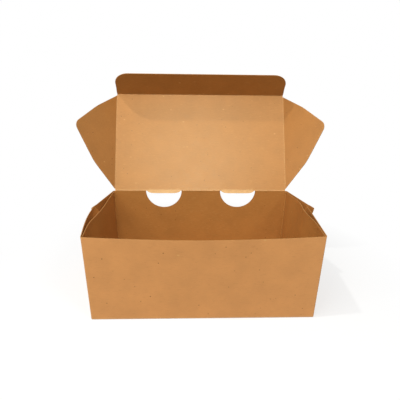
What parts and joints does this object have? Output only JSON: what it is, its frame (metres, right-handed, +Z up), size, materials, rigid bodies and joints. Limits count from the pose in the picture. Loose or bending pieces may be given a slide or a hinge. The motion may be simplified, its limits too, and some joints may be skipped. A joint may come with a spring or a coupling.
{
  "type": "paper box",
  "caption": "Kraft paperboard box folded from a sheet, with hinged lid, tuck flap, lid ears and half-round vents at the rear fold, for packing snacks or small goods.",
  "frame": {"origin": "middle of the tray's underside, on the surface that the box rests on", "axes": "+X to the box's right seen from the front, +Y to the back where the lid's crease is, +Z up"},
  "size_m": [0.2138, 0.1379, 0.1677],
  "materials": {
    "kraft_outside": "matte",
    "kraft_inside": "matte"
  },
  "bodies": {
    "tray_body": {"tray": "kraft_outside"},
    "lid_body": {"lid": "kraft_inside"},
    "tuck_body": {"tuck_flap": "kraft_inside"},
    "ear_left_body": {"ear_left": "kraft_inside"},
    "ear_right_body": {"ear_right": "kraft_inside"}
  },
  "joints": [
    {"name": "lid_hinge", "type": "hinge", "parent": "tray_body", "child": "lid_body", "pos_m": [0, 0.04648, 0.0665], "axis": [1, 0, 0], "range_deg": [-64.5, 115.5]},
    {"name": "tuck_hinge", "type": "hinge", "parent": "lid_body", "child": "tuck_body", "pos_m": [0, 0.08604, 0.14945], "axis": [1, 0, 0], "range_deg": [-23, 41]},
    {"name": "ear_left_hinge", "type": "hinge", "parent": "lid_body", "child": "ear_left_body", "pos_m": [-0.0793, 0.06585, 0.10712], "axis": [0, 0.4305, 0.9026], "range_deg": [-37.5, 67]},
    {"name": "ear_right_hinge", "type": "hinge", "parent": "lid_body", "child": "ear_right_body", "pos_m": [0.0793, 0.06585, 0.10712], "axis": [0, -0.4305, -0.9026], "range_deg": [-37.5, 67]}
  ],
  "couplings": [
    {"joint": "tuck_hinge", "follows": "lid_hinge", "ratio": 0.35},
    {"joint": "ear_left_hinge", "follows": "lid_hinge", "ratio": 0.58},
    {"joint": "ear_right_hinge", "follows": "lid_hinge", "ratio": 0.58}
  ]
}
